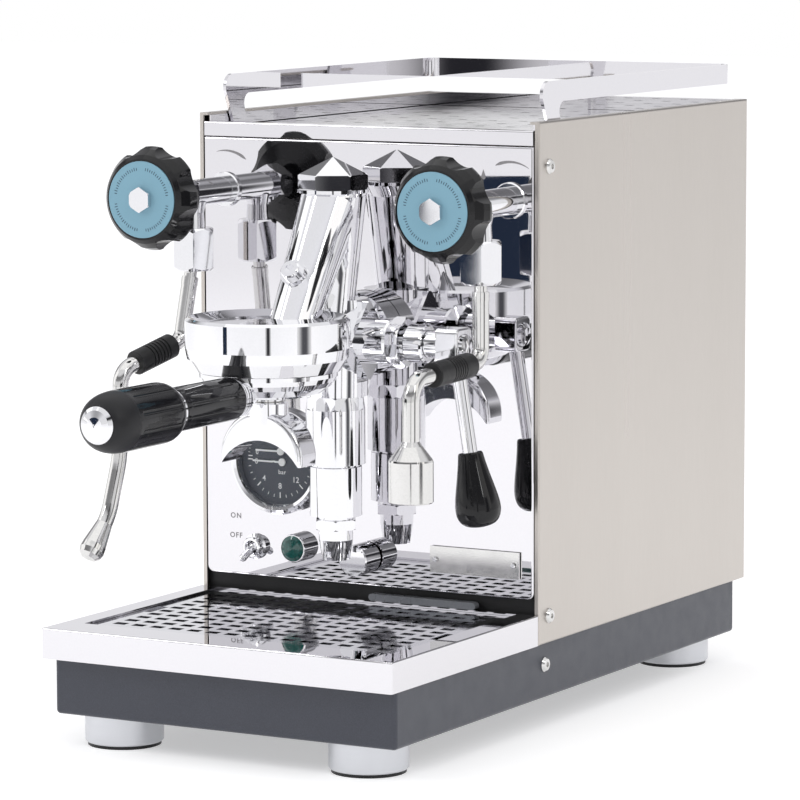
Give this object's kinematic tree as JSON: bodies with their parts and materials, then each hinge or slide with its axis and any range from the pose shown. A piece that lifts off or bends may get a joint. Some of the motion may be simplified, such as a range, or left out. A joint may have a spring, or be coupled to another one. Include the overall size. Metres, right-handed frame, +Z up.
{
  "type": "espresso machine",
  "caption": "Lever-group espresso machine with polished front, steam and water wands, gauge, drip tray, lift-out tank and cup rail.",
  "frame": {"origin": "centre of the four feet, on the surface the machine stands on", "axes": "+Z up, -Y is the front with the brew group, +X is the machine's right seen from the front"},
  "size_m": [0.251, 0.563, 0.374],
  "materials": {
    "mirror_steel": "mirror polished",
    "chrome": "polished",
    "satin_steel": "satin",
    "tube_steel": "polished",
    "base_paint": "satin",
    "frame_paint": "satin",
    "aluminium": "satin",
    "rubber": "matte",
    "black_plastic": "satin",
    "disc_blue": "satin",
    "glass": "clear",
    "dial_steel": "polished",
    "needle_white": "matte",
    "lamp_green": "gloss",
    "copper": "satin",
    "brass": "satin",
    "tank_plastic": "translucent"
  },
  "bodies": {
    "chassis": {"base_pan": "base_paint", "feet": "aluminium", "foot_pads": "rubber", "chassis_frame": "frame_paint", "left_side_panel": "satin_steel", "right_side_panel": "satin_steel", "rear_panel": "satin_steel", "front_panel": "mirror_steel", "top_cover": "mirror_steel", "cup_rail": "mirror_steel", "casing_screws": "tube_steel", "badge_plate": "tube_steel", "boiler": "copper", "vibration_pump": "black_plastic", "control_box": "black_plastic", "safety_valve": "brass", "boiler_pipes": "copper", "mains_inlet": "black_plastic", "group_body": "chrome", "group_cap": "chrome", "jet_screw": "chrome", "infusion_chamber": "chrome", "shower_screen": "tube_steel", "group_gasket": "rubber", "cam_housing": "chrome", "steam_valve_body": "chrome", "water_valve_body": "chrome", "gauge_case": "dial_steel", "gauge_glass": "glass", "panel_bezels": "chrome", "lamp_lens": "lamp_green"},
    "brew_lever": {"lever_shaft": "chrome", "lever_rod": "chrome", "lever_knob": "black_plastic"},
    "brew_valve": {"brew_valve_stem": "brass"},
    "portafilter": {"portafilter_body": "chrome", "filter_basket": "tube_steel", "portafilter_handle": "black_plastic", "handle_trim": "chrome", "coffee_spout": "chrome"},
    "steam_control": {"steam_spindle": "chrome", "steam_knob": "black_plastic", "steam_disc": "disc_blue"},
    "water_control": {"water_spindle": "chrome", "water_knob": "black_plastic", "water_disc": "disc_blue"},
    "steam_swivel": {"steam_ball": "chrome"},
    "water_swivel": {"water_ball": "chrome"},
    "steam_wand": {"steam_wand": "tube_steel", "steam_grip": "rubber"},
    "water_wand": {"water_wand": "tube_steel", "water_grip": "rubber"},
    "toggle": {"toggle_lever": "chrome"},
    "selector": {"selector_knob": "chrome"},
    "pump_needle": {"pump_needle": "needle_white"},
    "boiler_needle": {"boiler_needle": "needle_white"},
    "drip_tray": {"drip_tray": "mirror_steel"},
    "drip_grid": {"drip_grid": "tube_steel"},
    "cup_tray": {"cup_tray": "satin_steel"},
    "water_tank": {"water_tank": "tank_plastic"}
  },
  "joints": [
    {"name": "lever_turn", "type": "hinge", "parent": "chassis", "child": "brew_lever", "pos_m": [0, -0.088, 0.2265], "axis": [-1, 0, 0], "range_deg": [0, 34]},
    {"name": "brew_valve_lift", "type": "slide", "parent": "chassis", "child": "brew_valve", "axis": [0, 0, 1], "range_m": [0, 0.0013]},
    {"name": "portafilter_lock", "type": "hinge", "parent": "chassis", "child": "portafilter", "pos_m": [0, -0.1625, 0.22], "axis": [0, 0, 1], "range_deg": [-50, 0]},
    {"name": "steam_knob_turn", "type": "hinge", "parent": "chassis", "child": "steam_control", "pos_m": [-0.0955, -0.1, 0.307], "axis": [0, -1, 0], "range_deg": [0, 360]},
    {"name": "water_knob_turn", "type": "hinge", "parent": "chassis", "child": "water_control", "pos_m": [0.0955, -0.1, 0.307], "axis": [0, -1, 0], "range_deg": [0, 360]},
    {"name": "steam_swivel_turn", "type": "hinge", "parent": "chassis", "child": "steam_swivel", "pos_m": [-0.0955, -0.088, 0.274], "axis": [0, 0, 1], "range_deg": [-80, 15]},
    {"name": "water_swivel_turn", "type": "hinge", "parent": "chassis", "child": "water_swivel", "pos_m": [0.0955, -0.088, 0.274], "axis": [0, 0, 1], "range_deg": [-15, 80]},
    {"name": "steam_wand_tilt", "type": "hinge", "parent": "steam_swivel", "child": "steam_wand", "pos_m": [-0.0955, -0.088, 0.274], "axis": [-0.9781, 0.2079, 0], "range_deg": [-15, 4]},
    {"name": "water_wand_tilt", "type": "hinge", "parent": "water_swivel", "child": "water_wand", "pos_m": [0.0955, -0.088, 0.274], "axis": [-1, 0, 0], "range_deg": [-10, 12]},
    {"name": "toggle_flip", "type": "hinge", "parent": "chassis", "child": "toggle", "pos_m": [-0.076, -0.0555, 0.095], "axis": [-1, 0, 0], "range_deg": [0, 40]},
    {"name": "selector_turn", "type": "hinge", "parent": "chassis", "child": "selector", "pos_m": [0.001, -0.06, 0.0944], "axis": [0, -1, 0], "range_deg": [-45, 45]},
    {"name": "pump_needle_swing", "type": "hinge", "parent": "chassis", "child": "pump_needle", "pos_m": [-0.056, -0.055, 0.147], "axis": [0, -1, 0], "range_deg": [0, 180]},
    {"name": "boiler_needle_swing", "type": "hinge", "parent": "chassis", "child": "boiler_needle", "pos_m": [-0.056, -0.057, 0.1536], "axis": [0, 1, 0], "range_deg": [0, 150]},
    {"name": "drip_tray_slide", "type": "slide", "parent": "chassis", "child": "drip_tray", "axis": [0, -1, 0], "range_m": [0, 0.12]},
    {"name": "drip_grid_lift", "type": "slide", "parent": "drip_tray", "child": "drip_grid", "axis": [0, 0, 1], "range_m": [0, 0.015]},
    {"name": "cup_tray_lift", "type": "slide", "parent": "chassis", "child": "cup_tray", "axis": [0, 0, 1], "range_m": [0, 0.06]},
    {"name": "water_tank_lift", "type": "slide", "parent": "chassis", "child": "water_tank", "axis": [0, 0, 1], "range_m": [0, 0.045]}
  ],
  "couplings": [
    {"joint": "brew_valve_lift", "follows": "lever_turn", "m_per_rad": 0.0019099}
  ]
}
